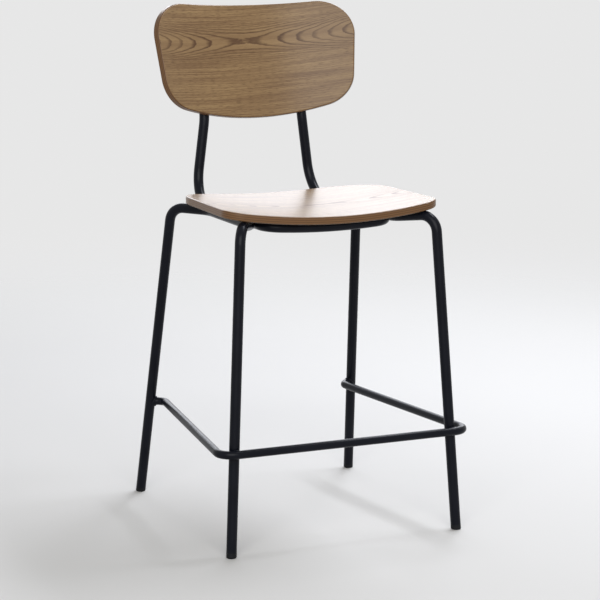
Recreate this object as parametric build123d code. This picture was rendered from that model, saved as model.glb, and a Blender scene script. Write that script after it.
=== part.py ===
from build123d import *
import math
import os

# Bar stool with a footrest: bent steel tube frames, a dished plywood seat and a curved plywood backrest.
# Millimetres, X across the stool, +Y to the back, +Z up, origin on the floor under the middle.

# Frame tube
tube_diameter = 20.0
tube_wall = 1.5
bend_radius = 32.0
post_bend_radius = 70.0
lumbar_bend_radius = 100.0
knee_bend_radius = 60.0
weld_gap = 0.3

# Legs: where the axes meet the floor, and where the straight runs meet under the seat
front_foot_half_width = 237.0
front_foot_reach = 251.9
rear_foot_half_width = 239.0
rear_foot_reach = 256.8
front_top_half_width = 201.5
front_top_reach = 218.5
front_top_rise = 12.0
rear_top_half_width = 204.0
rear_top_reach = 145.4
rear_top_rise = 2.5
side_run_rise = 1.2
front_knee_reach = 137.5
rear_knee_reach = 78.0

# Footrest tube
rail_diameter = 16.0
rail_wall = 1.5
rail_height = 199.5
rail_front_half_width = 259.0
rail_front_bend = 28.0
rail_rear_half_width = 201.5
rail_rear_reach = 206.0
rail_rear_bend = 20.0

# Seat: plywood, dished across its width
seat_height = 629.0
seat_thickness = 15.0
seat_dish_radius = 1315.0
seat_front_width = 444.0
seat_rear_width = 426.0
seat_front_reach = 219.5
seat_depth = 366.0
seat_front_arc = 1600.0
seat_rear_arc = 700.0
seat_front_corner = 37.0
seat_rear_corner = 134.0
seat_edge_round = 3.0

# Back frame under the seat and up to the backrest
runner_half_width = 129.0
front_bar_reach = 168.0
front_bar_straight = 1.5
post_half_width = 107.0
post_kink_drop = 80.0
post_top_rise = 65.0

# Backrest: plywood, bent round the sitter and leaning back
back_height = 860.5
back_setback = 216.3
back_recline = 15.0
back_curve_radius = 428.0
back_thickness = 14.0
back_top_width = 442.0
back_bottom_width = 400.0
back_rise = 147.6
back_drop = 85.0
back_bottom_arc = 718.0
back_top_corner = 70.0
back_bottom_corner = 67.0
back_edge_round = 2.5

# Fixings: a screw through the tube and a moulded saddle into a threaded insert in the plywood
seat_saddle_thickness = 1.5
back_saddle_thickness = 3.0
saddle_share = 0.45
screw_diameter = 6.0
screw_head_diameter = 11.0
screw_head_height = 3.5
screw_socket_radius = 2.3
screw_socket_depth = 2.0
screw_reach = 6.5
insert_diameter = 9.0
insert_length = 8.0
insert_sink = 0.3
hole_clearance = 0.3
seat_front_fixing_reach = 95.0
seat_rear_fixing_reach = 60.0
back_lower_fixing = -35.0
back_upper_fixing = 42.0

# Plastic ends: glides under the legs and plugs on the posts
glide_height = 10.0
glide_round = 2.5
glide_stem = 18.0
plug_height = 3.0
plug_stem = 12.0
stem_clearance = 0.15

# Derived sizes of the frame
tube_radius = tube_diameter / 2
tube_bore = tube_radius - tube_wall
rail_radius = rail_diameter / 2
dish_axis_height = seat_height + seat_dish_radius
seat_under_radius = seat_dish_radius + seat_thickness
bow_radius = seat_under_radius + seat_saddle_thickness + tube_radius
bow_half_chord = runner_half_width - bend_radius - front_bar_straight
bow_angle = math.asin(bow_half_chord / bow_radius)
bow_vertex_height = dish_axis_height - bow_radius / math.cos(bow_angle)
runner_height = bow_vertex_height + runner_half_width * math.tan(bow_angle)
side_half_width = runner_half_width + tube_diameter + weld_gap
screw_bore = screw_diameter / 2 + stem_clearance

# Derived frame of the backrest: along its height, and out of its back face
lean = math.radians(back_recline)
back_up = Vector(0, math.sin(lean), math.cos(lean))
back_out = Vector(0, math.cos(lean), -math.sin(lean))
back_middle = Vector(0, back_setback, back_height)
back_axis = back_middle - back_out * back_curve_radius
post_orbit = back_curve_radius + back_thickness + back_saddle_thickness + tube_radius
post_angle = math.asin(post_half_width / post_orbit)
back_plane = Plane(origin=back_middle, x_dir=(1, 0, 0), z_dir=back_out * -1)


def round_bar(plane, radius, start, end):
    """Solid cylinder along the plane's normal, from start to end."""
    on_base = (Align.CENTER, Align.CENTER, Align.MIN)
    return plane * Pos(0, 0, start) * Cylinder(radius, end - start, align=on_base)


def bent_tube(points, radii, radius, wall):
    """Hollow tube along straight runs joined by bends."""
    path = FilletPolyline(*points, radius=radii)
    start = Plane(origin=path @ 0, z_dir=path % 0)
    return sweep(start * (Circle(radius) - Circle(radius - wall)), path=path)


def mirrored(points):
    """The same points on the other side of the stool."""
    return [Vector(-p.X, p.Y, p.Z) for p in points]


# Leg lines on the +X side
front_foot = Vector(front_foot_half_width, -front_foot_reach, 0)
front_top = Vector(front_top_half_width, -front_top_reach, runner_height + front_top_rise)
rear_foot = Vector(rear_foot_half_width, rear_foot_reach, 0)
rear_top = Vector(rear_top_half_width, rear_top_reach, runner_height + rear_top_rise)


def on_leg(foot, top, height):
    """Point of a leg's axis at a height."""
    return foot + (top - foot) * (height / top.Z)


def leg_plane(foot, top):
    """Plane across a leg at the floor, its normal up the leg."""
    return Plane(origin=foot, z_dir=(top - foot).normalized())


def make_side_frame():
    """Front leg, run under the seat and rear leg on the +X side, one tube."""
    front_end = front_foot + leg_plane(front_foot, front_top).z_dir * glide_height
    rear_end = rear_foot + leg_plane(rear_foot, rear_top).z_dir * glide_height
    front_knee = Vector(side_half_width, -front_knee_reach, runner_height + side_run_rise)
    rear_knee = Vector(side_half_width, rear_knee_reach, runner_height + side_run_rise)
    points = [front_end, front_top, front_knee, rear_knee, rear_top, rear_end]
    radii = [bend_radius, knee_bend_radius, knee_bend_radius, bend_radius]
    return bent_tube(points, radii, tube_radius, tube_wall)


def post_point(rise):
    """Point of the +X post's axis behind the backrest, at a height along the backrest."""
    across = Vector(post_orbit * math.sin(post_angle), 0, 0)
    return back_axis + across + back_out * (post_orbit * math.cos(post_angle)) + back_up * rise


def make_back_frame():
    """Left post, runners with the front bar, right post, one tube."""
    kink = post_point(-post_kink_drop)
    heel = Vector(runner_half_width, kink.Y, runner_height)
    front_corner = Vector(runner_half_width, -front_bar_reach, runner_height)
    right = [front_corner, heel, kink, post_point(post_top_rise)]
    bow_vertex = Vector(0, -front_bar_reach, bow_vertex_height)
    points = mirrored(right)[::-1] + [bow_vertex] + right
    side_radii = [bend_radius, post_bend_radius, lumbar_bend_radius]
    radii = side_radii[::-1] + [bow_radius] + side_radii
    return bent_tube(points, radii, tube_radius, tube_wall)


def make_footrest():
    """Rail round the front and sides, its ends shaped to the rear legs."""
    front_leg = on_leg(front_foot, front_top, rail_height)
    rear_leg = on_leg(rear_foot, rear_top, rail_height)
    front_y = front_leg.Y - tube_radius - rail_radius - weld_gap
    front_corner = Vector(rail_front_half_width, front_y, rail_height)
    rear_corner = Vector(rail_rear_half_width, rail_rear_reach, rail_height)
    right = [front_corner, rear_corner, rear_leg]
    points = mirrored(right)[::-1] + right
    radii = [rail_rear_bend, rail_front_bend, rail_front_bend, rail_rear_bend]
    rail = bent_tube(points, radii, rail_radius, rail_wall)
    leg_room = round_bar(leg_plane(rear_foot, rear_top), tube_radius + weld_gap, 0, 2 * rail_height)
    return rail - leg_room - mirror(leg_room, about=Plane.YZ)


def arc_drop(radius, half_width):
    """How far an arc falls from its middle at a half width."""
    return radius - math.sqrt(radius**2 - half_width**2)


def seat_outline():
    """Seat seen from above: arcs at front and rear, tapered sides, rounded corners."""
    front_half = seat_front_width / 2
    rear_half = seat_rear_width / 2
    rear_reach = seat_depth - seat_front_reach
    front_y = -seat_front_reach + arc_drop(seat_front_arc, front_half)
    rear_y = rear_reach - arc_drop(seat_rear_arc, rear_half)
    front = ThreePointArc((-front_half, front_y), (0, -seat_front_reach), (front_half, front_y))
    rear = ThreePointArc((rear_half, rear_y), (0, rear_reach), (-rear_half, rear_y))
    face = make_face([front, Line(front @ 1, rear @ 0), rear, Line(rear @ 1, front @ 0)])
    corners = face.vertices().sort_by(Axis.Y)
    face = fillet(corners[:2], seat_front_corner)
    corners = [v for v in face.vertices() if abs(v.Y - rear_y) < 1e-3]
    return fillet(corners, seat_rear_corner)


def curved_sheet(axis_plane, inner_radius, thickness, half_length):
    """Sheet bent round the plane's normal, a full ring between two radii."""
    ring = Circle(inner_radius + thickness) - Circle(inner_radius)
    return extrude(axis_plane * ring, amount=half_length, both=True)


def seat_fixings():
    """Planes on the seat's underside, normals into the seat and on the runners' axes."""
    drop = dish_axis_height - runner_height
    angle = math.atan2(runner_half_width, drop)
    planes = {}
    for side, sign in (("left", -1), ("right", 1)):
        for end, y in (("front", -seat_front_fixing_reach), ("rear", seat_rear_fixing_reach)):
            outward = Vector(sign * math.sin(angle), 0, -math.cos(angle))
            origin = Vector(0, y, dish_axis_height) + outward * seat_under_radius
            planes[f"{end}_{side}"] = Plane(origin=origin, x_dir=(0, 1, 0), z_dir=outward * -1)
    return planes, math.hypot(runner_half_width, drop) - seat_under_radius


def back_fixings():
    """Planes on the backrest's back face, normals into the panel and on the posts' axes."""
    planes = {}
    for side, sign in (("left", -1), ("right", 1)):
        for end, rise in (("lower", back_lower_fixing), ("upper", back_upper_fixing)):
            outward = Vector(sign * math.sin(post_angle), 0, 0) + back_out * math.cos(post_angle)
            origin = back_axis + back_up * rise + outward * (back_curve_radius + back_thickness)
            planes[f"{end}_{side}"] = Plane(origin=origin, x_dir=back_up, z_dir=outward * -1)
    return planes, back_saddle_thickness + tube_radius


def insert_holes(panel, planes):
    """The panel with a blind hole for each threaded insert."""
    radius = insert_diameter / 2 + stem_clearance
    bottom = insert_sink + insert_length + hole_clearance
    for plane in planes.values():
        panel -= round_bar(plane, radius, -insert_sink, bottom)
    return panel


def make_seat(planes):
    """Dished plywood seat."""
    axis_plane = Plane(origin=(0, 0, dish_axis_height), x_dir=(1, 0, 0), z_dir=(0, 1, 0))
    sheet = curved_sheet(axis_plane, seat_dish_radius, seat_thickness, seat_depth)
    block = extrude(Pos(0, 0, seat_height) * seat_outline(), amount=seat_front_width / 2, both=True)
    return insert_holes(rounded_faces(sheet & block, seat_edge_round), planes)


def rounded_faces(panel, radius):
    """The panel with the rims of its two large faces rounded."""
    broad = panel.faces().sort_by(SortBy.AREA)[-2:]
    return fillet(ShapeList(broad[0].edges() + broad[1].edges()), radius)


def back_outline():
    """Backrest seen square on: straight top, tapered sides, bowed bottom, rounded corners."""
    top_half = back_top_width / 2
    bottom_half = back_bottom_width / 2
    corner_y = -back_drop + arc_drop(back_bottom_arc, bottom_half)
    top = Line((top_half, back_rise), (-top_half, back_rise))
    bottom = ThreePointArc((-bottom_half, corner_y), (0, -back_drop), (bottom_half, corner_y))
    face = make_face([top, Line(top @ 1, bottom @ 0), bottom, Line(bottom @ 1, top @ 0)])
    corners = face.vertices().sort_by(Axis.Y)
    face = fillet(corners[2:], back_top_corner)
    corners = [v for v in face.vertices() if abs(v.Y - corner_y) < 1e-3]
    return fillet(corners, back_bottom_corner)


def make_backrest(planes):
    """Plywood backrest, hollow side to the sitter, its edge cut square to the bent sheet."""
    axis_plane = Plane(origin=back_axis, x_dir=(1, 0, 0), z_dir=back_up)
    sheet = curved_sheet(axis_plane, back_curve_radius, back_thickness, back_top_width)
    block = extrude(back_plane * back_outline(), amount=back_top_width / 2, both=True)
    front = (sheet & block).faces().sort_by(SortBy.AREA)[-2:].sort_by(Axis.Y)[0]
    panel = Solid.thicken(front, -back_thickness)
    return insert_holes(rounded_faces(panel, back_edge_round), planes)


def screw_holes(tube, planes, depth):
    """The tube with a hole right through it for each screw."""
    for plane in planes.values():
        tube -= round_bar(plane, screw_diameter / 2 + hole_clearance, -depth - tube_diameter, 0)
    return tube


def make_screw(plane, depth):
    """Socket screw: head on the far side of the tube, shank into the insert."""
    bearing = -depth - tube_radius
    top = bearing - screw_head_height
    head = round_bar(plane, screw_head_diameter / 2, top, bearing)
    shank = round_bar(plane, screw_diameter / 2, bearing, screw_reach)
    socket = extrude(Pos(0, 0, top) * RegularPolygon(screw_socket_radius, 6), screw_socket_depth)
    return head + shank - plane * socket


def make_insert(plane):
    """Threaded sleeve set into the plywood."""
    end = insert_sink + insert_length
    sleeve = round_bar(plane, insert_diameter / 2, insert_sink, end)
    return sleeve - round_bar(plane, screw_bore, 0, end + insert_sink)


def make_saddle(plane, depth):
    """Moulded spacer, flat to the panel and hollowed to the tube."""
    block = round_bar(plane, saddle_share * tube_diameter, -depth, 0)
    tube_room = Rot(0, 90, 0) * Cylinder(tube_radius + stem_clearance, 2 * tube_diameter)
    screw_room = round_bar(plane, screw_diameter / 2 + hole_clearance, -depth, tube_radius)
    return block - plane * Pos(0, 0, -depth) * tube_room - screw_room


def make_glide(foot, top):
    """Plastic glide plugged into a leg and cut level with the floor."""
    plane = leg_plane(foot, top)
    cap = round_bar(plane, tube_radius, -tube_radius, glide_height)
    cap = split(cap, bisect_by=Plane.XY, keep=Keep.TOP)
    cap = fillet(cap.edges().group_by(Axis.Z)[0], glide_round)
    stem = round_bar(plane, tube_bore - stem_clearance, glide_height, glide_height + glide_stem)
    return cap + stem


def make_plug():
    """Plastic plug on top of the +X post."""
    plane = Plane(origin=post_point(post_top_rise), z_dir=back_up)
    cap = round_bar(plane, tube_radius, 0, plug_height)
    return cap + round_bar(plane, tube_bore - stem_clearance, -plug_stem, 0)


seat_planes, seat_tube_depth = seat_fixings()
back_planes, back_tube_depth = back_fixings()

parts = {}
parts["seat_panel"] = make_seat(seat_planes)
parts["backrest_panel"] = make_backrest(back_planes)
frame = screw_holes(make_back_frame(), seat_planes, seat_tube_depth)
parts["back_frame"] = screw_holes(frame, back_planes, back_tube_depth)
parts["side_frame_right"] = make_side_frame()
parts["side_frame_left"] = mirror(parts["side_frame_right"], about=Plane.YZ)
parts["footrest"] = make_footrest()
for end, foot, top in (("front", front_foot, front_top), ("rear", rear_foot, rear_top)):
    parts[f"foot_glide_{end}_right"] = make_glide(foot, top)
    parts[f"foot_glide_{end}_left"] = mirror(parts[f"foot_glide_{end}_right"], about=Plane.YZ)
parts["post_plug_right"] = make_plug()
parts["post_plug_left"] = mirror(parts["post_plug_right"], about=Plane.YZ)
for name, plane in seat_planes.items():
    parts[f"seat_saddle_{name}"] = make_saddle(plane, seat_tube_depth)
for name, plane in back_planes.items():
    parts[f"backrest_saddle_{name}"] = make_saddle(plane, back_tube_depth)
parts["seat_screws"] = Compound([make_screw(p, seat_tube_depth) for p in seat_planes.values()])
parts["seat_inserts"] = Compound([make_insert(p) for p in seat_planes.values()])
parts["backrest_screws"] = Compound([make_screw(p, back_tube_depth) for p in back_planes.values()])
parts["backrest_inserts"] = Compound([make_insert(p) for p in back_planes.values()])

os.makedirs("parts", exist_ok=True)
for name, part in parts.items():
    export_step(part, f"parts/{name}.step")
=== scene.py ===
import math

import bpy
from bpy.props import FloatProperty, FloatVectorProperty, PointerProperty
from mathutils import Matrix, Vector


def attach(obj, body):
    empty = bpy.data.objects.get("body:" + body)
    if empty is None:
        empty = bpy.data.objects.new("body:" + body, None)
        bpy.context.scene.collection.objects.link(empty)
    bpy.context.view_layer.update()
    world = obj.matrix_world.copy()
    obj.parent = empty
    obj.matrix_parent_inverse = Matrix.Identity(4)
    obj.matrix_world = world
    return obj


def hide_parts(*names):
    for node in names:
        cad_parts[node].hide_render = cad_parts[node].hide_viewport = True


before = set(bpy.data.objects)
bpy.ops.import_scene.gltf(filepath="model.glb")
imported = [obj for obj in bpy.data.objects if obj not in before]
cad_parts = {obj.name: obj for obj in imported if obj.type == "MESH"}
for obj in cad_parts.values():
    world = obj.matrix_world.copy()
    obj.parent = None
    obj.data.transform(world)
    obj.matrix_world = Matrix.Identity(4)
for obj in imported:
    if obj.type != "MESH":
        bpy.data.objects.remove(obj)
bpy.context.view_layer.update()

bl_info = {
    "name": "Bar stool with footrest",
    "version": (1, 0, 0),
    "blender": (4, 5, 0),
    "location": "3D View > Sidebar > Stool",
    "description": "Finishes the stool's plywood, tube, welds, screws and plastic, and sets its studio",
    "category": "Object",
}

MM = 0.001


def linear(code):
    """Linear colour of an sRGB hex value."""
    channels = [int(code[i : i + 2], 16) / 255 for i in (1, 3, 5)]
    return [c / 12.92 if c <= 0.04045 else ((c + 0.055) / 1.055) ** 2.4 for c in channels] + [1.0]


def length(label, text, mm):
    """A size of the stool, given in millimetres and kept in metres."""
    return FloatProperty(name=label, description=text, default=mm * MM, unit="LENGTH", precision=5)


def colour(label, text, code):
    """A colour of the stool, given as sRGB hex."""
    return FloatVectorProperty(
        name=label, description=text, default=linear(code), size=4, min=0, max=1, subtype="COLOR"
    )


class STOOL_PG_sizes(bpy.types.PropertyGroup):
    """Sizes of the stool that the finishes follow."""

    tube_radius: length("Tube radius", "Outside radius of the frame tube", 10)
    rail_radius: length("Rail radius", "Outside radius of the footrest tube", 8)
    rail_height: length("Rail height", "Axis of the footrest above the floor", 199.5)
    dish_radius: length("Seat dish radius", "Radius of the seat's hollow top", 1315)
    seat_height: length("Seat height", "Middle of the seat's top above the floor", 629)
    seat_thickness: length("Seat thickness", "Plywood of the seat", 15)
    back_height: length("Backrest height", "Fixing centre of the backrest above the floor", 860.5)
    back_setback: length("Backrest setback", "Fixing centre of the backrest behind the middle", 216.3)
    back_radius: length("Backrest radius", "Radius of the backrest's hollow front", 428)
    back_thickness: length("Backrest thickness", "Plywood of the backrest", 14)
    back_recline: FloatProperty(
        name="Backrest recline",
        description="How far the backrest leans back",
        default=math.radians(15),
        subtype="ANGLE",
    )
    front_foot_x: length("Front foot half width", "Front leg's axis from the middle, at the floor", 237)
    front_foot_y: length("Front foot reach", "Front leg's axis ahead of the middle, at the floor", 251.9)
    front_top_x: length("Front top half width", "Front leg's axis from the middle, under the seat", 201.5)
    front_top_y: length("Front top reach", "Front leg's axis ahead of the middle, under the seat", 218.5)
    rear_foot_x: length("Rear foot half width", "Rear leg's axis from the middle, at the floor", 239)
    rear_foot_y: length("Rear foot reach", "Rear leg's axis behind the middle, at the floor", 256.8)
    rear_top_x: length("Rear top half width", "Rear leg's axis from the middle, under the seat", 204)
    rear_top_y: length("Rear top reach", "Rear leg's axis behind the middle, under the seat", 145.4)
    rail_rear_x: length("Rail rear half width", "Footrest's rear corner from the middle", 201.5)
    rail_rear_y: length("Rail rear reach", "Footrest's rear corner behind the middle", 206)
    runner_half_width: length("Runner half width", "Axis of a runner from the middle", 129)
    runner_height: length("Runner height", "Axis of the runners above the floor", 608.29)
    front_top_rise: length("Front top rise", "Top of a front leg's axis above the runners' axis", 12)
    rear_top_rise: length("Rear top rise", "Top of a rear leg's axis above the runners' axis", 2.5)
    post_half_width: length("Post half width", "Axis of a post from the middle", 107)
    saddle_gap: length("Saddle gap", "Gap that a saddle fills between post and backrest", 3)
    weld_width: length("Weld width", "Width of a weld bead", 4.2)
    weld_pitch: length("Weld pitch", "Step from one weld ripple to the next", 2.4)
    stitch_front: length("Front stitches", "Start of the front weld stitches behind the middle", -95)
    stitch_rear: length("Rear stitches", "Start of the rear weld stitches behind the middle", 25)
    stitch_lift: length("Stitch lift", "Weld stitches above and below the runners' axis", 6.4)
    screw_radius: length("Screw head radius", "Outside radius of a screw head", 5.5)
    screw_head: length("Screw head height", "Height of a screw head", 3.5)
    screw_shank: length("Screw shank", "Length of a screw under its head", 28)
    back_screw_low: length("Lower backrest screws", "Height above the backrest's fixing centre", -35)
    back_screw_high: length("Upper backrest screws", "Height above the backrest's fixing centre", 42)
    seat_screw_front: length("Front seat screws", "Place behind the middle", -95)
    seat_screw_rear: length("Rear seat screws", "Place behind the middle", 60)


class STOOL_PG_colours(bpy.types.PropertyGroup):
    """Colours of the stool and its floor."""

    veneer: colour("Veneer", "Darker wood between the growth lines", "#705438")
    veneer_pale: colour("Pale veneer", "Paler wood between the growth lines", "#9c8059")
    grain: colour("Grain", "Growth lines and pores of the ash", "#553b24")
    ply_long: colour("Long plies", "Edge of plies laid along the panel", "#765533")
    ply_cross: colour("Cross plies", "Edge of plies laid across the panel", "#5b3e25")
    coat: colour("Powder coat", "Charcoal of the tubes", "#0b0d15")
    coat_pale: colour("Thin powder coat", "Paler charcoal where the film is thin", "#11131b")
    nylon: colour("Nylon", "Black of the glides, plugs and saddles", "#0e0f12")
    zinc: colour("Zinc", "Plating of the screws", "#b4b7b8")
    brass: colour("Brass", "Threaded inserts", "#b1924f")
    floor: colour("Floor", "Pale studio floor", "#dcdbd8")


def sizes():
    return bpy.context.scene.stool_sizes


def colours():
    return bpy.context.scene.stool_colours


def add(tree, kind, inputs=None, **settings):
    """Add a node, with its settings, and fill its inputs with values, sockets or nodes."""
    made = tree.nodes.new(kind)
    for key, value in settings.items():
        setattr(made, key, value)
    for key, value in (inputs or {}).items():
        if isinstance(value, bpy.types.Node):
            value = value.outputs[0]
        if isinstance(value, bpy.types.NodeSocket):
            tree.links.new(value, made.inputs[key])
        else:
            made.inputs[key].default_value = value
    return made


def new_finish(name):
    """An empty material, its tree and its surface socket."""
    finish = bpy.data.materials.new(name)
    finish.use_nodes = True
    tree = finish.node_tree
    tree.nodes.clear()
    surface = tree.nodes.new("ShaderNodeOutputMaterial").inputs["Surface"]
    return finish, tree, surface


def cover(nodes, finish):
    """Give CAD nodes a finish."""
    for name in nodes:
        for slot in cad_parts[name].material_slots:
            slot.material = finish


def bent_sheet(tree, axis, lean, radius, thickness):
    """Places in a bent sheet, in millimetres: along its bend, up its straight side and into it."""
    far_slide = 95.0
    far_rise = -38.0
    place = add(tree, "ShaderNodeTexCoord").outputs["Object"]
    local = add(
        tree, "ShaderNodeMapping",
        {"Vector": place, "Location": axis, "Rotation": (-lean, 0, 0), "Scale": (MM, MM, MM)},
        vector_type="TEXTURE",
    )
    spot = add(tree, "ShaderNodeSeparateXYZ", {0: local})
    turn = add(tree, "ShaderNodeMath", {0: spot.outputs[0], 1: spot.outputs[1]}, operation="ARCTAN2")
    flat = add(tree, "ShaderNodeCombineXYZ", {0: spot.outputs[0], 1: spot.outputs[1]})
    reach = add(tree, "ShaderNodeVectorMath", {0: flat}, operation="LENGTH").outputs["Value"]
    depth = add(tree, "ShaderNodeMath", {0: reach, 1: radius / MM}, operation="SUBTRACT")
    far_face = add(
        tree, "ShaderNodeMath", {0: depth, 1: thickness / MM / 2}, operation="GREATER_THAN"
    )
    along = add(tree, "ShaderNodeMath", {0: turn, 1: radius / MM}, operation="MULTIPLY")
    # The veneer on the far face is another slice of the log
    along = add(
        tree, "ShaderNodeMath", {0: far_face, 1: far_slide, 2: along}, operation="MULTIPLY_ADD"
    )
    rise = add(
        tree, "ShaderNodeMath", {0: far_face, 1: far_rise, 2: spot.outputs[2]}, operation="MULTIPLY_ADD"
    )
    outward = add(tree, "ShaderNodeVectorMath", {0: flat}, operation="NORMALIZE")
    return {
        "local": local, "outward": outward, "depth": depth,
        "far_face": far_face, "along": along, "rise": rise,
    }


def streaks(tree, spot, long, wide, detail):
    """Noise drawn out along the grain, each streak so many millimetres long and wide."""
    scaled = add(
        tree, "ShaderNodeVectorMath", {0: spot, 1: (1 / long, 1 / wide, 1)}, operation="MULTIPLY"
    )
    return add(tree, "ShaderNodeTexNoise", {"Vector": scaled, "Scale": 1.0, "Detail": detail})


def growth_lines(tree, sheet, heart):
    """Growth lines of the log, places that run straighter along them, and distance from their middle.

    The heart says, in millimetres on the sheet: the height and slope of the middle line, the pinch that
    the arches leave to both sides and how gently they leave it (bow), the step from line to line along
    the grain (arch) and towards the heart (ring), how deep the heart lies under the pinch (cut), how
    blunt an arch is and how far its lines wander. Its year numbers the line at the pinch.
    """
    along, rise = sheet["along"], sheet["rise"]
    spot = add(tree, "ShaderNodeCombineXYZ", {0: along, 1: rise})
    # Slow wander of the growth rings, over about 90 mm along the grain and 30 mm across
    wander = streaks(tree, spot, 90, 30, 2.0)
    wander = add(
        tree, "ShaderNodeMapRange", {0: wander, 1: 0.3, 2: 0.7, 3: -heart["wander"], 4: heart["wander"]}
    )
    # Quick tremble of a line, over about 14 mm; the pinch lies just short of a line
    tremble = streaks(tree, spot, 14, 5, 3.0)
    tremble = add(tree, "ShaderNodeMapRange", {0: tremble, 1: 0.2, 2: 0.8, 3: -0.12, 4: 0.06})

    # Distance from the heart of the log, which comes nearest the surface away from the pinch
    pinch = add(tree, "ShaderNodeMath", {0: along, 1: heart["pinch"]}, operation="SUBTRACT")
    bow = add(tree, "ShaderNodeCombineXYZ", {0: pinch, 1: heart["bow"]})
    bow = add(tree, "ShaderNodeVectorMath", {0: bow}, operation="LENGTH").outputs["Value"]
    bow = add(tree, "ShaderNodeMath", {0: bow, 1: heart["bow"]}, operation="SUBTRACT")
    cut = add(
        tree, "ShaderNodeMath",
        {0: bow, 1: -heart["ring"] / heart["arch"], 2: heart["cut"]}, operation="MULTIPLY_ADD",
    )
    line = add(
        tree, "ShaderNodeMath", {0: along, 1: -heart["slope"], 2: rise}, operation="MULTIPLY_ADD"
    )
    line = add(tree, "ShaderNodeMath", {0: line, 1: heart["height"]}, operation="SUBTRACT")
    line = add(tree, "ShaderNodeMath", {0: line, 1: wander}, operation="ADD")
    # The arches end blunt, not in a point
    side = add(tree, "ShaderNodeCombineXYZ", {0: line, 1: heart["blunt"]})
    side = add(tree, "ShaderNodeVectorMath", {0: side}, operation="LENGTH").outputs["Value"]
    side = add(tree, "ShaderNodeMath", {0: side, 1: heart["blunt"]}, operation="SUBTRACT")
    ring = add(tree, "ShaderNodeCombineXYZ", {0: side, 1: cut})
    ring = add(tree, "ShaderNodeVectorMath", {0: ring}, operation="LENGTH").outputs["Value"]
    ring = add(tree, "ShaderNodeMath", {0: heart["cut"], 1: ring}, operation="SUBTRACT")
    ring = add(
        tree, "ShaderNodeMath", {0: ring, 1: 1 / heart["ring"], 2: tremble}, operation="MULTIPLY_ADD"
    )
    year = add(tree, "ShaderNodeMath", {0: ring}, operation="FRACT")

    # One growth line: sharp where the year begins, fading into the late wood
    fade = add(
        tree, "ShaderNodeMapRange", {0: year, 1: 0.0, 2: 0.36, 3: 1.0, 4: 0.0},
        interpolation_type="SMOOTHSTEP",
    )
    start = add(
        tree, "ShaderNodeMapRange", {0: year, 1: 0.9, 2: 1.0, 3: 0.0, 4: 1.0},
        interpolation_type="SMOOTHSTEP",
    )
    growth = add(tree, "ShaderNodeMath", {0: fade, 1: start}, operation="MAXIMUM")
    # Lines are bold within 14 mm of the middle line and faint beyond 50 mm
    away = add(tree, "ShaderNodeMath", {0: line}, operation="ABSOLUTE")
    bold = add(
        tree, "ShaderNodeMapRange", {0: away, 1: 14.0, 2: 50.0, 3: 1.1, 4: 0.2},
        interpolation_type="SMOOTHSTEP",
    )
    growth = add(tree, "ShaderNodeMath", {0: growth, 1: bold}, operation="MULTIPLY")
    # Some years leave a fainter line than others; a line begins in the last tenth of the year before
    number = add(tree, "ShaderNodeMath", {0: ring, 1: heart["year"] + 0.1}, operation="ADD")
    number = add(tree, "ShaderNodeMath", {0: number}, operation="FLOOR")
    vigour = add(tree, "ShaderNodeTexWhiteNoise", {"W": number}, noise_dimensions="1D")
    vigour = add(tree, "ShaderNodeMapRange", {0: vigour, 3: 0.55, 4: 1.0})
    growth = add(tree, "ShaderNodeMath", {0: growth, 1: vigour}, operation="MULTIPLY")

    # Everything finer runs along the growth lines, but straighter
    straight = add(tree, "ShaderNodeMath", {0: wander, 1: -0.6, 2: line}, operation="MULTIPLY_ADD")
    grain = add(tree, "ShaderNodeCombineXYZ", {0: along, 1: straight, 2: sheet["far_face"]})
    return growth, grain, away


def ash_veneer(tree, sheet, heart):
    """Colour of stained ash veneer, and how dark its growth lines and pores are."""
    tints = colours()
    growth, grain, away = growth_lines(tree, sheet, heart)
    # Pores are 0.3 mm wide and 8 mm long, drawn 1.2 mm wide and 14 mm long so that they show
    pore = streaks(tree, grain, 14, 1.2, 2.0)
    pore = add(tree, "ShaderNodeMapRange", {0: pore, 1: 0.5, 2: 0.68, 3: 0.0, 4: 0.6})
    # The wood between the arches is calm: its pores lie in the growth lines
    busy = add(
        tree, "ShaderNodeMapRange", {0: away, 1: 6.0, 2: 34.0, 3: 0.3, 4: 1.0},
        interpolation_type="SMOOTHSTEP",
    )
    pore = add(tree, "ShaderNodeMath", {0: pore, 1: busy}, operation="MULTIPLY")
    dark = add(tree, "ShaderNodeMath", {0: growth, 1: pore}, operation="ADD", use_clamp=True)

    # Early and late wood are 0.8 mm apart, drawn 2.2 mm apart and 200 mm long so that they show
    fine = streaks(tree, grain, 200, 2.2, 1.0)
    fine = add(tree, "ShaderNodeMath", {0: fine, 1: 0.5}, operation="SUBTRACT")
    fine = add(tree, "ShaderNodeMath", {0: fine, 1: busy, 2: 0.5}, operation="MULTIPLY_ADD")
    # Paler and darker bands of the stain, about 16 mm wide and 260 mm long
    band = streaks(tree, grain, 260, 16, 2.0)
    streak = add(tree, "ShaderNodeMath", {0: band, 1: 0.8, 2: fine}, operation="MULTIPLY_ADD")
    streak = add(tree, "ShaderNodeMapRange", {0: streak, 1: 0.6, 2: 1.16})
    face = add(
        tree, "ShaderNodeMix", {0: streak, 6: tints.veneer, 7: tints.veneer_pale}, data_type="RGBA"
    ).outputs[2]
    face = add(
        tree, "ShaderNodeMix", {0: dark, 6: face, 7: tints.grain}, data_type="RGBA"
    ).outputs[2]
    return face, dark


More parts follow.
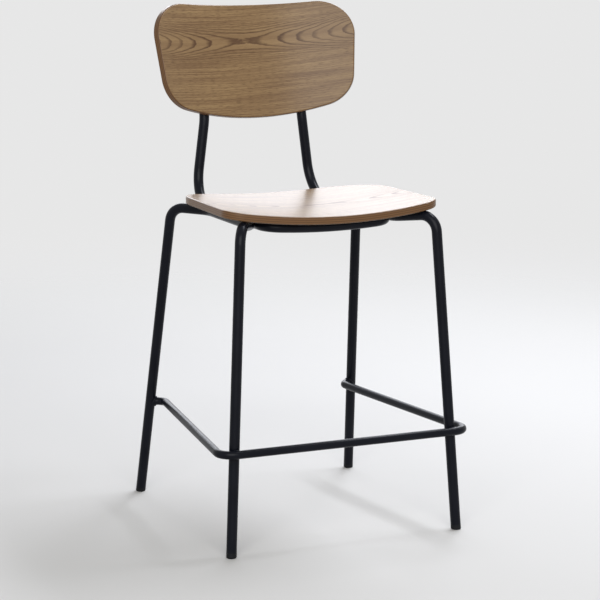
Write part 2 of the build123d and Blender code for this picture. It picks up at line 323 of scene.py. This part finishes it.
def cut_plies(tree, sheet):
    """Colour of the plywood's cut edge: stripes of crossed plies, speckled with end pores."""
    tints = colours()
    # Plies are about 1.5 mm thick, drawn 2 mm thick so that they show
    ply = add(tree, "ShaderNodeMath", {0: sheet["depth"], 1: 1 / 2}, operation="MULTIPLY")
    ply = add(tree, "ShaderNodeMath", {0: ply, 1: 1.0}, operation="PINGPONG")
    ply = add(
        tree, "ShaderNodeMapRange", {0: ply, 1: 0.38, 2: 0.62}, interpolation_type="SMOOTHSTEP"
    )
    edge = add(
        tree, "ShaderNodeMix", {0: ply, 6: tints.ply_long, 7: tints.ply_cross}, data_type="RGBA"
    ).outputs[2]
    # End pores are 0.3 mm across, drawn about 1.1 mm across so that they show
    pore = add(tree, "ShaderNodeTexNoise", {"Vector": sheet["local"], "Scale": 0.9, "Detail": 2.0})
    pore = add(tree, "ShaderNodeMapRange", {0: pore, 1: 0.5, 2: 0.8, 3: 0.0, 4: 0.4})
    return add(
        tree, "ShaderNodeMix", {0: pore, 6: edge, 7: tints.grain}, data_type="RGBA"
    ).outputs[2]


def stained_ash_plywood(name, axis, lean, radius, thickness, heart):
    """Ash veneer on bent plywood, stained brown and sprayed with satin lacquer.

    Ash shows dark open growth lines that arch where the knife cut nearest the heart of the log, pores
    along the grain, and stripes of crossed plies at the cut edge. The lacquer shines at a low angle.
    """
    finish, tree, surface = new_finish(name)
    sheet = bent_sheet(tree, axis, lean, radius, thickness)
    face, dark = ash_veneer(tree, sheet, heart)
    edge = cut_plies(tree, sheet)

    # Broad faces look along the bend's radius, the edge looks across it
    facing = add(
        tree, "ShaderNodeMapping",
        {"Vector": add(tree, "ShaderNodeNewGeometry").outputs["Normal"], "Rotation": (-lean, 0, 0)},
        vector_type="TEXTURE",
    )
    square = add(
        tree, "ShaderNodeVectorMath", {0: facing, 1: sheet["outward"]}, operation="DOT_PRODUCT"
    ).outputs["Value"]
    square = add(tree, "ShaderNodeMath", {0: square}, operation="ABSOLUTE")
    square = add(
        tree, "ShaderNodeMapRange", {0: square, 1: 0.72, 2: 0.9}, interpolation_type="SMOOTHSTEP"
    )
    tone = add(tree, "ShaderNodeMix", {0: square, 6: edge, 7: face}, data_type="RGBA").outputs[2]

    sheen = add(tree, "ShaderNodeMapRange", {0: dark, 3: 0.4, 4: 0.5})
    relief = add(
        tree, "ShaderNodeBump", {"Strength": 0.35, "Distance": 0.12 * MM, "Height": dark}, invert=True
    )
    wood = add(
        tree, "ShaderNodeBsdfPrincipled",
        {
            "Base Color": tone, "Roughness": sheen, "Normal": relief, "IOR": 1.5,
            "Specular IOR Level": 0.16, "Coat Weight": 0.33, "Coat Roughness": 0.28, "Coat IOR": 1.5,
        },
    )
    tree.links.new(wood.outputs[0], surface)
    return finish


def powder_coated_steel(name):
    """Steel tube under baked powder: charcoal, satin, with the slight orange peel of melted powder."""
    tints = colours()
    finish, tree, surface = new_finish(name)
    place = add(tree, "ShaderNodeTexCoord").outputs["Object"]
    # Orange peel is about 1 mm, drawn 2 mm so that it shows; uneven film over about 60 mm
    peel = add(tree, "ShaderNodeTexNoise", {"Vector": place, "Scale": 1 / (2 * MM), "Detail": 1.0})
    film = add(tree, "ShaderNodeTexNoise", {"Vector": place, "Scale": 1 / (60 * MM), "Detail": 4.0})
    film = add(tree, "ShaderNodeMapRange", {0: film, 1: 0.35, 2: 0.7})
    tone = add(
        tree, "ShaderNodeMix", {0: film, 6: tints.coat, 7: tints.coat_pale}, data_type="RGBA"
    ).outputs[2]
    sheen = add(tree, "ShaderNodeMapRange", {0: film, 3: 0.28, 4: 0.34})
    relief = add(tree, "ShaderNodeBump", {"Strength": 0.05, "Distance": 0.2 * MM, "Height": peel})
    coat = add(
        tree, "ShaderNodeBsdfPrincipled",
        {
            "Base Color": tone, "Roughness": sheen, "Normal": relief, "IOR": 1.5,
            "Specular IOR Level": 0.13,
        },
    )
    tree.links.new(coat.outputs[0], surface)
    return finish


def moulded_nylon(name):
    """Black moulded nylon: dull, with the fine spark-eroded grain of its mould and pale scuffs."""
    tints = colours()
    finish, tree, surface = new_finish(name)
    place = add(tree, "ShaderNodeTexCoord").outputs["Object"]
    # Mould grain is 0.2 mm, drawn 0.8 mm so that it shows; scuffs over about 9 mm
    grit = add(tree, "ShaderNodeTexNoise", {"Vector": place, "Scale": 1 / (0.8 * MM), "Detail": 2.0})
    scuff = add(tree, "ShaderNodeTexNoise", {"Vector": place, "Scale": 1 / (9 * MM), "Detail": 5.0})
    scuff = add(tree, "ShaderNodeMapRange", {0: scuff, 1: 0.5, 2: 0.8, 3: 0.0, 4: 0.6})
    tone = add(
        tree, "ShaderNodeMix", {0: scuff, 6: tints.nylon, 7: tints.coat_pale}, data_type="RGBA"
    ).outputs[2]
    sheen = add(tree, "ShaderNodeMapRange", {0: grit, 3: 0.5, 4: 0.66})
    relief = add(tree, "ShaderNodeBump", {"Strength": 0.2, "Distance": 0.1 * MM, "Height": grit})
    nylon = add(
        tree, "ShaderNodeBsdfPrincipled",
        {
            "Base Color": tone, "Roughness": sheen, "Normal": relief, "IOR": 1.53,
            "Specular IOR Level": 0.2,
        },
    )
    tree.links.new(nylon.outputs[0], surface)
    return finish


def turned_metal(name, tint, low, high):
    """Small bright metal part: plating or brass with a cloudy, slightly uneven shine."""
    finish, tree, surface = new_finish(name)
    place = add(tree, "ShaderNodeTexCoord").outputs["Object"]
    # Cloudy plating over about 3 mm, and tool marks of 0.1 mm drawn 0.5 mm so that they show
    cloud = add(tree, "ShaderNodeTexNoise", {"Vector": place, "Scale": 1 / (3 * MM), "Detail": 3.0})
    marks = add(tree, "ShaderNodeTexNoise", {"Vector": place, "Scale": 1 / (0.5 * MM), "Detail": 1.0})
    worn = [c * 0.72 for c in tint[:3]] + [1.0]
    tone = add(tree, "ShaderNodeMix", {0: cloud, 6: worn, 7: tint}, data_type="RGBA").outputs[2]
    sheen = add(tree, "ShaderNodeMapRange", {0: cloud, 1: 0.3, 2: 0.7, 3: low, 4: high})
    relief = add(tree, "ShaderNodeBump", {"Strength": 0.1, "Distance": 0.1 * MM, "Height": marks})
    metal = add(
        tree, "ShaderNodeBsdfPrincipled",
        {"Base Color": tone, "Metallic": 1.0, "Roughness": sheen, "Normal": relief},
    )
    tree.links.new(metal.outputs[0], surface)
    return finish


def painted_floor(name):
    """Matt floor paint: pale and faintly cloudy. Far from the stool it clears, and the studio shows."""
    clear_from = 0.9
    clear_to = 4.0
    finish, tree, surface = new_finish(name)
    place = add(tree, "ShaderNodeTexCoord").outputs["Object"]
    # Clouds of the paint, about 830 mm wide
    cloud = add(tree, "ShaderNodeTexNoise", {"Vector": place, "Scale": 1.2, "Detail": 2.0})
    pale = colours().floor[:]
    shade = [c * 0.97 for c in pale[:3]] + [1.0]
    tone = add(tree, "ShaderNodeMix", {0: cloud, 6: shade, 7: pale}, data_type="RGBA").outputs[2]
    paint = add(
        tree, "ShaderNodeBsdfPrincipled",
        {"Base Color": tone, "Roughness": 0.7, "Specular IOR Level": 0.0},
    )
    away = add(tree, "ShaderNodeVectorMath", {0: place}, operation="LENGTH").outputs["Value"]
    fade = add(
        tree, "ShaderNodeMapRange", {0: away, 1: clear_from, 2: clear_to},
        interpolation_type="SMOOTHSTEP",
    )
    clear = add(tree, "ShaderNodeBsdfTransparent")
    both = add(tree, "ShaderNodeMixShader", {0: fade, 1: paint, 2: clear})
    tree.links.new(both.outputs[0], surface)
    return finish


def back_axis():
    """Middle of the backrest's bend, with the directions up the panel and out of its back."""
    s = sizes()
    up = Vector((0, math.sin(s.back_recline), math.cos(s.back_recline)))
    out = Vector((0, math.cos(s.back_recline), -math.sin(s.back_recline)))
    middle = Vector((0, s.back_setback, s.back_height))
    return middle - out * s.back_radius, up, out


def place_by_nodes(name, points, edges, tree, values, outward=None):
    """A plain mesh of what a node tree makes along edges or at points."""
    mesh = bpy.data.meshes.new(name)
    mesh.from_pydata(points, edges, [])
    if outward:
        held = mesh.attributes.new("outward", "FLOAT_VECTOR", "POINT")
        held.data.foreach_set("vector", [c for v in outward for c in v])
    piece = bpy.data.objects.new(name, mesh)
    bpy.context.scene.collection.objects.link(piece)
    maker = piece.modifiers.new("maker", "NODES")
    maker.node_group = tree
    for socket in tree.interface.items_tree:
        if socket.in_out == "INPUT" and socket.name in values:
            maker[socket.identifier] = values[socket.name]
    bpy.context.view_layer.update()
    shown = piece.evaluated_get(bpy.context.evaluated_depsgraph_get())
    made = bpy.data.meshes.new_from_object(shown)
    piece.modifiers.remove(maker)
    piece.data = made
    made.name = name
    bpy.data.meshes.remove(mesh)
    return piece


def new_maker(name, sockets):
    """An empty geometry tree with named inputs."""
    tree = bpy.data.node_groups.new(name, "GeometryNodeTree")
    tree.interface.new_socket("Geometry", in_out="INPUT", socket_type="NodeSocketGeometry")
    for label, kind in sockets.items():
        tree.interface.new_socket(label, in_out="INPUT", socket_type=kind)
    tree.interface.new_socket("Geometry", in_out="OUTPUT", socket_type="NodeSocketGeometry")
    return tree, add(tree, "NodeGroupInput")


def weld_maker():
    """Rippled bead along each edge chain, closed on itself or with rounded ends."""
    wanted = {
        "Width": "NodeSocketFloat", "Pitch": "NodeSocketFloat", "Ripple": "NodeSocketFloat",
        "Finish": "NodeSocketMaterial",
    }
    tree, given = new_maker("weld_bead", wanted)
    path = add(tree, "GeometryNodeMeshToCurve", {"Mesh": given.outputs["Geometry"]})
    # Five steps to a ripple
    step = add(tree, "ShaderNodeMath", {0: given.outputs["Pitch"], 1: 0.2}, operation="MULTIPLY")
    path = add(tree, "GeometryNodeResampleCurve", {"Curve": path, "Length": step}, mode="LENGTH")
    at = add(tree, "GeometryNodeSplineParameter")
    wave = add(
        tree, "ShaderNodeMath", {0: at.outputs["Length"], 1: given.outputs["Pitch"]}, operation="DIVIDE"
    )
    wave = add(tree, "ShaderNodeMath", {0: wave, 1: math.pi}, operation="MULTIPLY")
    wave = add(tree, "ShaderNodeMath", {0: wave}, operation="SINE")
    wave = add(tree, "ShaderNodeMath", {0: wave}, operation="ABSOLUTE")
    wave = add(
        tree, "ShaderNodeMath", {0: wave, 1: given.outputs["Ripple"], 2: 1.0}, operation="MULTIPLY_ADD"
    )
    # An open bead rounds off over one width at each end
    total = add(tree, "GeometryNodeSplineLength")
    left = add(
        tree, "ShaderNodeMath", {0: total.outputs["Length"], 1: at.outputs["Length"]}, operation="SUBTRACT"
    )
    near = add(tree, "ShaderNodeMath", {0: at.outputs["Length"], 1: left}, operation="MINIMUM")
    near = add(
        tree, "ShaderNodeMath", {0: near, 1: given.outputs["Width"]}, operation="DIVIDE", use_clamp=True
    )
    ring = add(tree, "GeometryNodeInputSplineCyclic")
    near = add(tree, "ShaderNodeMath", {0: near, 1: ring}, operation="MAXIMUM")
    near = add(tree, "ShaderNodeMapRange", {0: near, 3: 0.35, 4: 1.0}, interpolation_type="SMOOTHSTEP")
    thick = add(tree, "ShaderNodeMath", {0: wave, 1: near}, operation="MULTIPLY")
    half = add(tree, "ShaderNodeMath", {0: given.outputs["Width"], 1: 0.5}, operation="MULTIPLY")
    thick = add(tree, "ShaderNodeMath", {0: thick, 1: half}, operation="MULTIPLY")
    round_section = add(tree, "GeometryNodeCurvePrimitiveCircle", {"Resolution": 12, "Radius": 1.0})
    bead = add(
        tree, "GeometryNodeCurveToMesh",
        {"Curve": path, "Profile Curve": round_section, "Scale": thick, "Fill Caps": True},
    )
    bead = add(tree, "GeometryNodeSetShadeSmooth", {"Geometry": bead})
    bead = add(tree, "GeometryNodeRealizeInstances", {"Geometry": bead})
    bead = add(tree, "GeometryNodeSetMaterial", {"Geometry": bead, "Material": given.outputs["Finish"]})
    add(tree, "NodeGroupOutput", {0: bead})
    return tree


def screw_maker():
    """One screw at each point, its head outward."""
    tree, given = new_maker("screws", {"Screw": "NodeSocketObject", "Finish": "NodeSocketMaterial"})
    screw = add(tree, "GeometryNodeObjectInfo", {"Object": given.outputs["Screw"]})
    outward = add(tree, "GeometryNodeInputNamedAttribute", {"Name": "outward"}, data_type="FLOAT_VECTOR")
    turned = add(tree, "FunctionNodeAlignRotationToVector", {"Vector": outward}, axis="Z")
    placed = add(
        tree, "GeometryNodeInstanceOnPoints",
        {"Points": given.outputs["Geometry"], "Instance": screw.outputs["Geometry"], "Rotation": turned},
    )
    placed = add(tree, "GeometryNodeRealizeInstances", {"Geometry": placed})
    placed = add(tree, "GeometryNodeSetMaterial", {"Geometry": placed, "Material": given.outputs["Finish"]})
    add(tree, "NodeGroupOutput", {0: placed})
    return tree


def button_head_screw(name):
    """M6 button head with a hexagon socket on a plain shank, its bearing face at the origin."""
    s = sizes()
    head, top, shank = s.screw_radius, s.screw_head, s.screw_shank
    key_half = 2 * MM
    socket_depth = 2 * MM
    shank_radius = 3 * MM
    tip_radius = 2.4 * MM
    tip_length = 0.6 * MM
    crown = 0.5 * head
    shoulder = 0.3 * top
    around = 48
    angles = [2 * math.pi * i / around for i in range(around)]
    sixth = math.pi / 3

    def ring(reach, height):
        return [(reach * math.cos(a), reach * math.sin(a), height) for a in angles]

    def hexagon(height):
        loop = []
        for a in angles:
            reach = key_half / math.cos((a + sixth / 2) % sixth - sixth / 2)
            loop.append((reach * math.cos(a), reach * math.sin(a), height))
        return loop

    # Loops from the socket's floor over the domed head and its rounded rim to the shank's tip
    loops = [hexagon(top - socket_depth), hexagon(top), ring(crown, top)]
    for degrees in range(10, 90, 10):
        bend = math.radians(degrees)
        reach = crown + (head - crown) * math.sin(bend)
        loops.append(ring(reach, shoulder + (top - shoulder) * math.cos(bend)))
    loops += [ring(head, 0.26 * top), ring(head, 0.06 * top), ring(0.96 * head, 0)]
    loops += [ring(shank_radius, 0), ring(shank_radius, tip_length - shank), ring(tip_radius, -shank)]
    points = [p for loop in loops for p in loop]
    faces = [list(range(around))]
    for row in range(len(loops) - 1):
        for i in range(around):
            j = (i + 1) % around
            a, b = row * around, (row + 1) * around
            faces.append([a + j, a + i, b + i, b + j])
    faces.append(list(range(len(points) - around, len(points)))[::-1])
    mesh = bpy.data.meshes.new(name)
    mesh.from_pydata(points, [], faces)
    mesh.shade_smooth()
    mesh.set_sharp_from_angle(angle=math.radians(40))
    screw = bpy.data.objects.new(name, mesh)
    bpy.context.scene.collection.objects.link(screw)
    return screw


def right_legs():
    """Foot and top of the right front leg's axis, and of the right rear leg's."""
    s = sizes()
    front_foot = Vector((s.front_foot_x, -s.front_foot_y, 0))
    front_top = Vector((s.front_top_x, -s.front_top_y, s.runner_height + s.front_top_rise))
    rear_foot = Vector((s.rear_foot_x, s.rear_foot_y, 0))
    rear_top = Vector((s.rear_top_x, s.rear_top_y, s.runner_height + s.rear_top_rise))
    return (front_foot, front_top), (rear_foot, rear_top)


def full_turn():
    """Angles round a closed bead."""
    steps = 40
    return [2 * math.pi * i / steps for i in range(steps)]


def crossing_weld():
    """Path round the spot where the rail crosses in front of the right front leg."""
    s = sizes()
    half_width = 6.4 * MM
    half_height = 5.2 * MM
    (foot, top), _ = right_legs()
    spot = foot.lerp(top, s.rail_height / top.z) - Vector((0, s.tube_radius, 0))
    return [
        spot + Vector((half_width * math.cos(a), 0, half_height * math.sin(a))) for a in full_turn()
    ]


def rail_end_weld():
    """Path round the rail's right end, where it meets the rear leg."""
    s = sizes()
    # The bead's middle stands a little off both tubes
    rail_reach = s.rail_radius + 0.4 * MM
    leg_reach = s.tube_radius + 0.9 * MM
    _, (foot, top) = right_legs()
    meeting = foot.lerp(top, s.rail_height / top.z)
    leg = (top - foot).normalized()
    run = (meeting - Vector((s.rail_rear_x, s.rail_rear_y, s.rail_height))).normalized()
    side_on = Vector((-run.y, run.x, 0))
    # Where each line along the rail enters a cylinder round the leg
    flat = run - leg * run.dot(leg)
    path = []
    for a in full_turn():
        off = (side_on * math.cos(a) + Vector((0, 0, math.sin(a)))) * rail_reach
        across = off - leg * off.dot(leg)
        half = across.dot(flat) / flat.dot(flat)
        gap = (across.length_squared - leg_reach**2) / flat.dot(flat)
        path.append(meeting + off + run * (-half - math.sqrt(half**2 - gap)))
    return path


def stitch_weld(start, lift):
    """Short straight path in the groove between the right runner and the side frame."""
    s = sizes()
    step = 3.5 * MM
    groove = s.runner_half_width + s.tube_radius
    return [Vector((groove, start + step * i, s.runner_height + lift)) for i in range(11)]


def soft_box(name, spot, aim, wide, tall, power, tint):
    """A flat lamp that the camera doesn't see."""
    data = bpy.data.lights.new(name, "AREA")
    data.color = linear(tint)[:3]
    data.shape = "RECTANGLE"
    data.size = wide
    data.size_y = tall
    data.energy = power
    made = bpy.data.objects.new(name, data)
    made.location = spot
    made.rotation_euler = (Vector(aim) - Vector(spot)).to_track_quat("-Z", "Y").to_euler()
    made.visible_camera = False
    bpy.context.scene.collection.objects.link(made)


def studio_backdrop(name):
    """Soft light from all round. Seen straight, mirrored or through glass, it is a pale backdrop."""
    room_light = 0.3
    backdrop_light = 0.8
    world = bpy.data.worlds.new(name)
    world.use_nodes = True
    tree = world.node_tree
    tree.nodes.clear()
    ray = add(tree, "ShaderNodeLightPath")
    seen = add(
        tree, "ShaderNodeMath",
        {0: ray.outputs["Is Camera Ray"], 1: ray.outputs["Is Glossy Ray"]}, operation="MAXIMUM",
    )
    seen = add(
        tree, "ShaderNodeMath", {0: seen, 1: ray.outputs["Is Transmission Ray"]}, operation="MAXIMUM"
    )
    room = add(tree, "ShaderNodeBackground", {"Color": (1, 1, 1, 1), "Strength": room_light})
    backdrop = add(tree, "ShaderNodeBackground", {"Color": (1, 1, 1, 1), "Strength": backdrop_light})
    both = add(tree, "ShaderNodeMixShader", {0: seen, 1: room, 2: backdrop})
    add(tree, "ShaderNodeOutputWorld", {"Surface": both})
    return world


class STOOL_OT_plywood(bpy.types.Operator):
    """Finish the plywood seat and backrest"""

    bl_idname = "stool.plywood"
    bl_label = "Plywood seat and backrest"

    def execute(self, context):
        s = sizes()
        axis, _, _ = back_axis()
        # Growth lines arch on both sides of a pinch
        back_heart = {
            "height": 72.4, "slope": 0.039, "pinch": -10.0, "bow": 84.0, "arch": 28.5,
            "ring": 2.2, "cut": 48.0, "blunt": 3.0, "wander": 1.6, "year": 76,
        }
        seat_heart = {
            "height": -60.0, "slope": -0.02, "pinch": 40.0, "bow": 120.0, "arch": 34.0,
            "ring": 2.4, "cut": 50.0, "blunt": 3.5, "wander": 2.4, "year": 76,
        }
        back = stained_ash_plywood(
            "stained_ash_plywood_backrest",
            axis, s.back_recline, s.back_radius, s.back_thickness, back_heart,
        )
        dish = Vector((0, 0, s.seat_height + s.dish_radius))
        seat = stained_ash_plywood(
            "stained_ash_plywood_seat",
            dish, math.pi / 2, s.dish_radius, s.seat_thickness, seat_heart,
        )
        cover(["backrest_panel"], back)
        cover(["seat_panel"], seat)
        return {"FINISHED"}


class STOOL_OT_tubes(bpy.types.Operator):
    """Finish the side frames, the back frame and the footrest"""

    bl_idname = "stool.tubes"
    bl_label = "Powder-coated tubes"

    def execute(self, context):
        coat = powder_coated_steel("powder_coated_steel")
        cover(["side_frame_left", "side_frame_right", "back_frame", "footrest"], coat)
        return {"FINISHED"}


class STOOL_OT_welds(bpy.types.Operator):
    """Lay the weld beads between the tubes"""

    bl_idname = "stool.welds"
    bl_label = "Weld beads"

    def execute(self, context):
        s = sizes()
        points, edges = [], []

        def chain(path, side, closed):
            first = len(points)
            points.extend(Vector((side * p.x, p.y, p.z)) for p in path)
            edges.extend((first + i, first + i + 1) for i in range(len(path) - 1))
            if closed:
                edges.append((first + len(path) - 1, first))

        for side in (-1, 1):
            chain(crossing_weld(), side, True)
            chain(rail_end_weld(), side, True)
            # Two stitches below and two above, between runner and side frame
            for start in (s.stitch_front, s.stitch_rear):
                for lift in (-s.stitch_lift, s.stitch_lift):
                    chain(stitch_weld(start, lift), side, False)
        coat = bpy.data.materials["powder_coated_steel"]
        values = {"Width": s.weld_width, "Pitch": s.weld_pitch, "Ripple": 0.16, "Finish": coat}
        beads = place_by_nodes("weld_beads", points, edges, weld_maker(), values)
        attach(beads, "root")
        return {"FINISHED"}


class STOOL_OT_screws(bpy.types.Operator):
    """Set the screws of the seat and the backrest"""

    bl_idname = "stool.screws"
    bl_label = "Screws"

    def execute(self, context):
        s = sizes()
        axis, up, out = back_axis()
        zinc = turned_metal("zinc_plated_steel", colours().zinc[:], 0.28, 0.42)
        maker = screw_maker()
        orbit = s.back_radius + s.back_thickness + s.saddle_gap + s.tube_radius
        angle = math.asin(s.post_half_width / orbit)
        dish = s.seat_height + s.dish_radius
        fall = dish - s.runner_height
        swing = math.atan2(s.runner_half_width, fall)
        span = math.hypot(s.runner_half_width, fall)
        behind, under = [], []
        for side in (-1, 1):
            outward = Vector((side * math.sin(angle), 0, 0)) + out * math.cos(angle)
            for rise in (s.back_screw_low, s.back_screw_high):
                behind.append((axis + up * rise + outward * (orbit + s.tube_radius), outward))
            outward = Vector((side * math.sin(swing), 0, -math.cos(swing)))
            for y in (s.seat_screw_front, s.seat_screw_rear):
                under.append((Vector((0, y, dish)) + outward * (span + s.tube_radius), outward))
        for name, spots in (("backrest_screws", behind), ("seat_screws", under)):
            master = button_head_screw(name + "_master")
            values = {"Screw": master, "Finish": zinc}
            heads = place_by_nodes(
                name + "_set", [p for p, _ in spots], [], maker, values, [v for _, v in spots]
            )
            bpy.data.objects.remove(master)
            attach(heads, "root")
            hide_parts(name)
        return {"FINISHED"}


class STOOL_OT_plastic(bpy.types.Operator):
    """Finish the glides, plugs and saddles"""

    bl_idname = "stool.plastic"
    bl_label = "Nylon glides, plugs and saddles"

    def execute(self, context):
        moulded = ("foot_glide", "post_plug", "seat_saddle", "backrest_saddle")
        cover([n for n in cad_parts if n.startswith(moulded)], moulded_nylon("moulded_nylon"))
        return {"FINISHED"}


class STOOL_OT_inserts(bpy.types.Operator):
    """Finish the threaded inserts"""

    bl_idname = "stool.inserts"
    bl_label = "Brass inserts"

    def execute(self, context):
        brass = turned_metal("turned_brass", colours().brass[:], 0.25, 0.4)
        cover(["seat_inserts", "backrest_inserts"], brass)
        return {"FINISHED"}


class STOOL_OT_stage(bpy.types.Operator):
    """Set the floor, the light and the camera"""

    bl_idname = "stool.stage"
    bl_label = "Pale studio"

    def execute(self, context):
        scene = context.scene
        floor_radius = 4.2
        corners = 96
        turns = [2 * math.pi * i / corners for i in range(corners)]
        rim = [(floor_radius * math.cos(a), floor_radius * math.sin(a), 0) for a in turns]
        mesh = bpy.data.meshes.new("floor")
        mesh.from_pydata(rim, [], [list(range(corners))])
        mesh.materials.append(painted_floor("painted_floor"))
        floor = bpy.data.objects.new("floor", mesh)
        scene.collection.objects.link(floor)

        scene.world = studio_backdrop("studio")
        # The light from above and behind is a little cooler, as from a window
        cool = "#f3f6ff"
        neutral = "#ffffff"
        soft_box("strip_box_top", (1.25, 0.65, 2.7), (1.25, 0.65, 0), 0.6, 2.2, 60, cool)
        soft_box("soft_box_rear", (2.0, 5.0, 2.7), (0, 0, 0.8), 5.5, 2.6, 182, cool)
        soft_box("soft_box_front", (-1.5, -3.6, 2.3), (0, 0, 0.6), 3.6, 3.0, 120, neutral)

        # Camera fitted to the photograph
        eye = Vector((-1.64084, -3.80317, 1.19914))
        aim = Vector((0.01174, -0.00250, 0.431))
        data = bpy.data.cameras.new("camera")
        data.sensor_width = 36
        data.lens = 127.08
        camera = bpy.data.objects.new("camera", data)
        camera.location = eye
        camera.rotation_euler = (aim - eye).to_track_quat("-Z", "Y").to_euler()
        scene.collection.objects.link(camera)
        scene.camera = camera
        scene.view_settings.view_transform = "Standard"
        return {"FINISHED"}


class STOOL_PT_panel(bpy.types.Panel):
    """Buttons and values of the stool"""

    bl_idname = "STOOL_PT_panel"
    bl_label = "Bar stool"
    bl_space_type = "VIEW_3D"
    bl_region_type = "UI"
    bl_category = "Stool"

    def draw(self, context):
        for operator in OPERATORS:
            self.layout.operator(operator.bl_idname)
        for group in (context.scene.stool_sizes, context.scene.stool_colours):
            box = self.layout.box()
            for key in group.bl_rna.properties.keys():
                if key not in ("rna_type", "name"):
                    box.prop(group, key)


OPERATORS = (
    STOOL_OT_plywood, STOOL_OT_tubes, STOOL_OT_welds, STOOL_OT_screws, STOOL_OT_plastic,
    STOOL_OT_inserts, STOOL_OT_stage,
)
CLASSES = (STOOL_PG_sizes, STOOL_PG_colours, *OPERATORS, STOOL_PT_panel)


def register():
    for made in CLASSES:
        bpy.utils.register_class(made)
    bpy.types.Scene.stool_sizes = PointerProperty(type=STOOL_PG_sizes)
    bpy.types.Scene.stool_colours = PointerProperty(type=STOOL_PG_colours)


def unregister():
    del bpy.types.Scene.stool_colours
    del bpy.types.Scene.stool_sizes
    for made in reversed(CLASSES):
        bpy.utils.unregister_class(made)


def main():
    register()
    bpy.ops.stool.plywood()
    bpy.ops.stool.tubes()
    bpy.ops.stool.welds()
    bpy.ops.stool.screws()
    bpy.ops.stool.plastic()
    bpy.ops.stool.inserts()
    bpy.ops.stool.stage()


if __name__ == "__main__":
    main()
